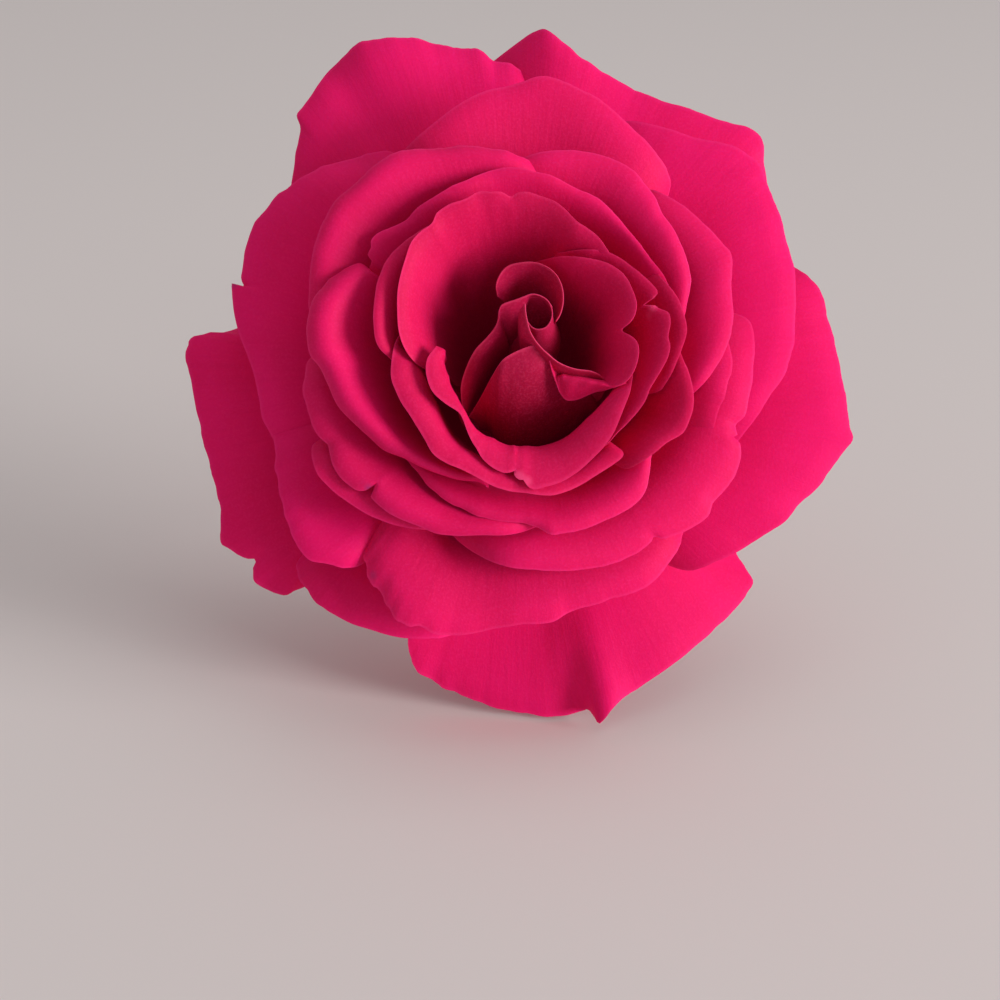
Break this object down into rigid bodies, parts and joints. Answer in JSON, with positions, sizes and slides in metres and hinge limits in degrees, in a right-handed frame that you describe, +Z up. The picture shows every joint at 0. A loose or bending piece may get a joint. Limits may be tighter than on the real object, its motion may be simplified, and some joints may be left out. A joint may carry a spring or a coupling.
{
  "type": "cut rose",
  "caption": "Fully open hot pink rose on its own short cut stem, laid down with the bloom propped up and facing the viewer.",
  "frame": {"origin": "on the table, under the middle of the rose's box", "axes": "+Z up, +Y from the bloom towards the cut end of the stem, so the bloom faces -Y and looks up from the table"},
  "size_m": [0.1112, 0.211, 0.1054],
  "materials": {
    "petal": "velvety",
    "sepal": "matt",
    "stem": "waxy"
  },
  "bodies": {
    "root": {"petals": "petal", "heart": "petal", "calyx": "sepal", "stem": "stem"}
  },
  "joints": []
}
